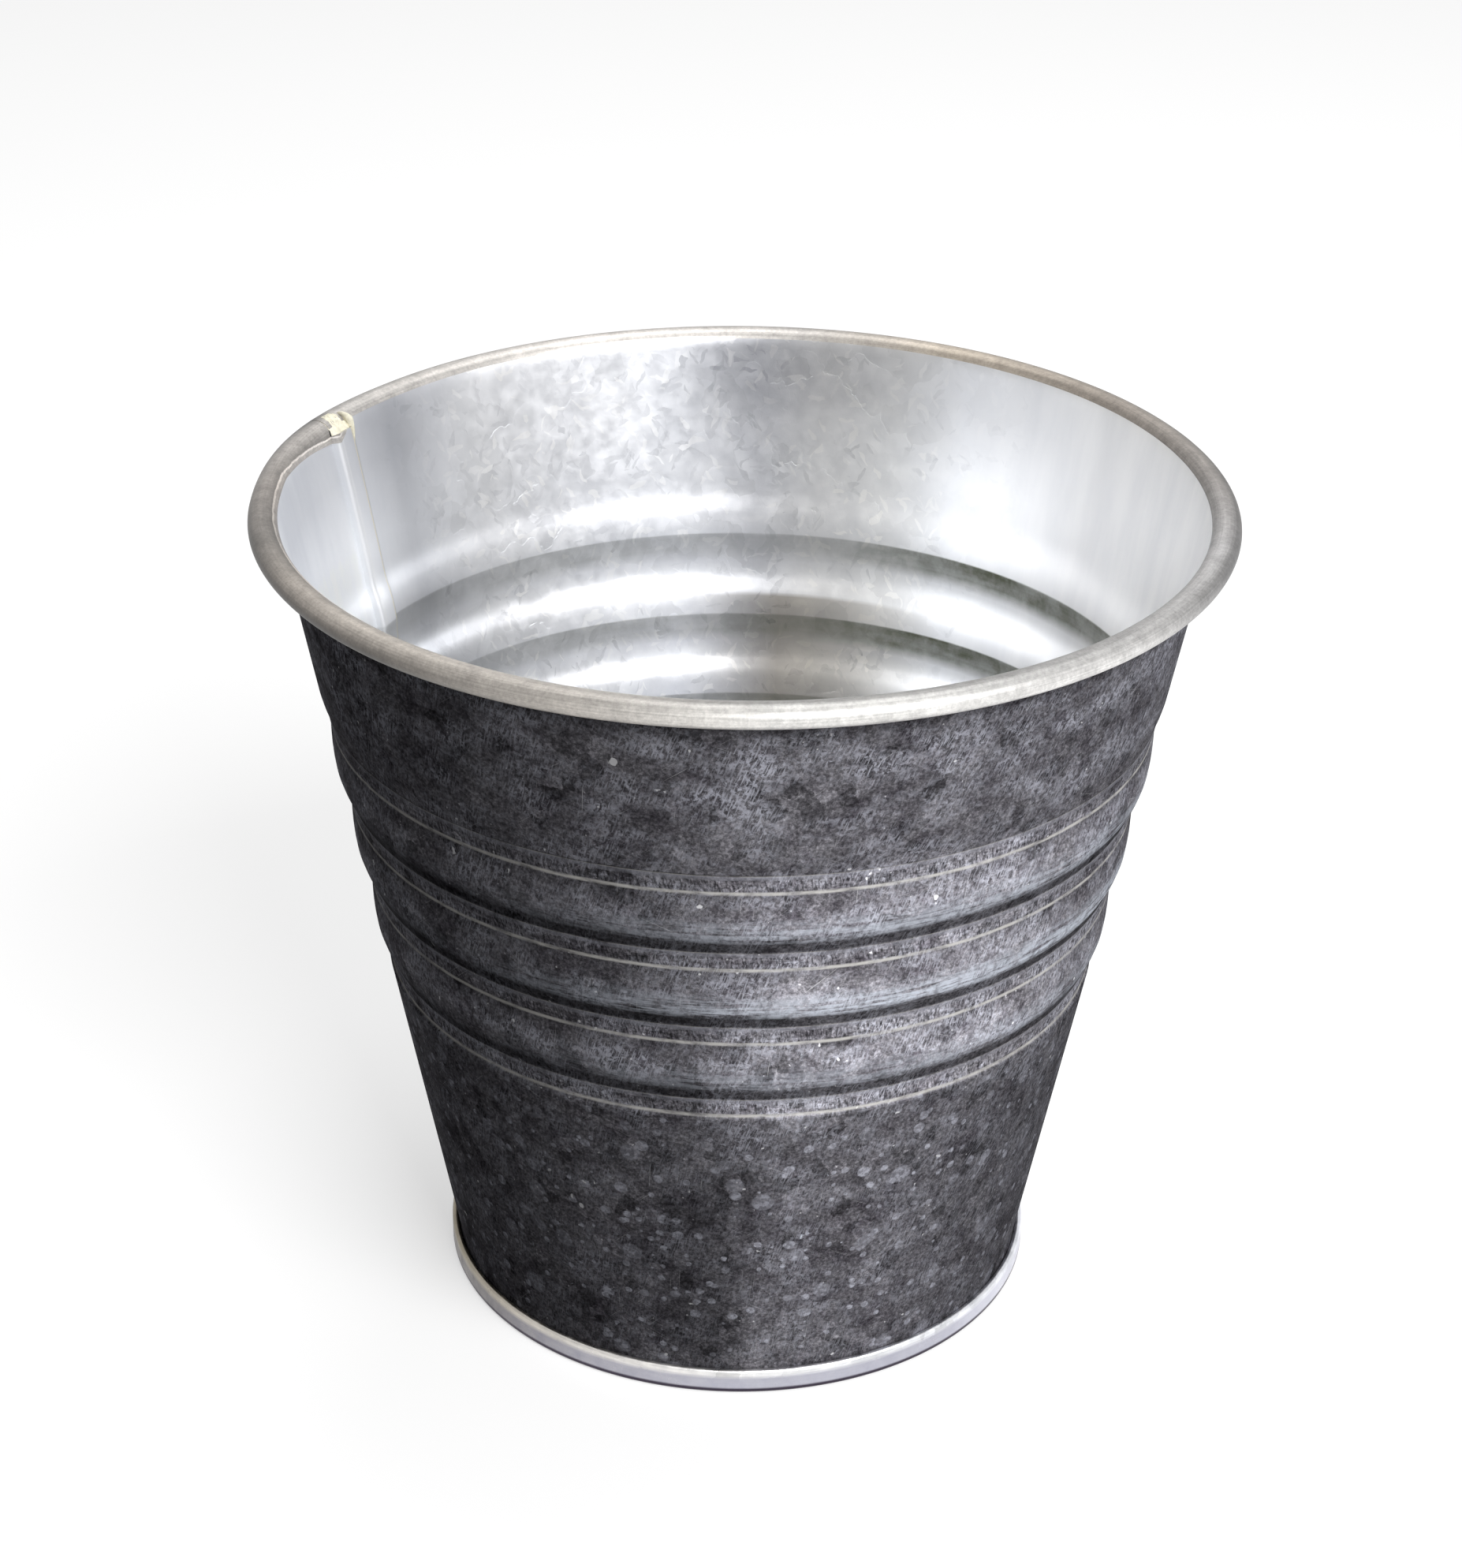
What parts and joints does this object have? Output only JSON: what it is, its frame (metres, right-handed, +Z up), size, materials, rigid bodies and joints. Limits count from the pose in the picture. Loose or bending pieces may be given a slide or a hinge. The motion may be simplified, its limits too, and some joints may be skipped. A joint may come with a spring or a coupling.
{
  "type": "florist bucket",
  "caption": "Small tapered galvanised steel bucket with rolled bands, curled rim, lock-seamed side and double-seamed base.",
  "frame": {"origin": "centre of the resting edge of the base, on the surface that the bucket stands on", "axes": "+Z up along the bucket's axis; -Y is the front, opposite the back; the side seam stands 156 degrees round from +X towards +Y"},
  "size_m": [0.1399, 0.1398, 0.1245],
  "materials": {
    "weathered_zinc": "dark weathered zinc coating, satin",
    "bright_zinc": "bright zinc coating, satin",
    "sealing_compound": "cured cream sealing compound, matt"
  },
  "bodies": {
    "root": {"body_sheet": "weathered_zinc", "base_pan": "bright_zinc", "side_seam_sealant": "sealing_compound", "base_seam_sealant": "sealing_compound"}
  },
  "joints": []
}
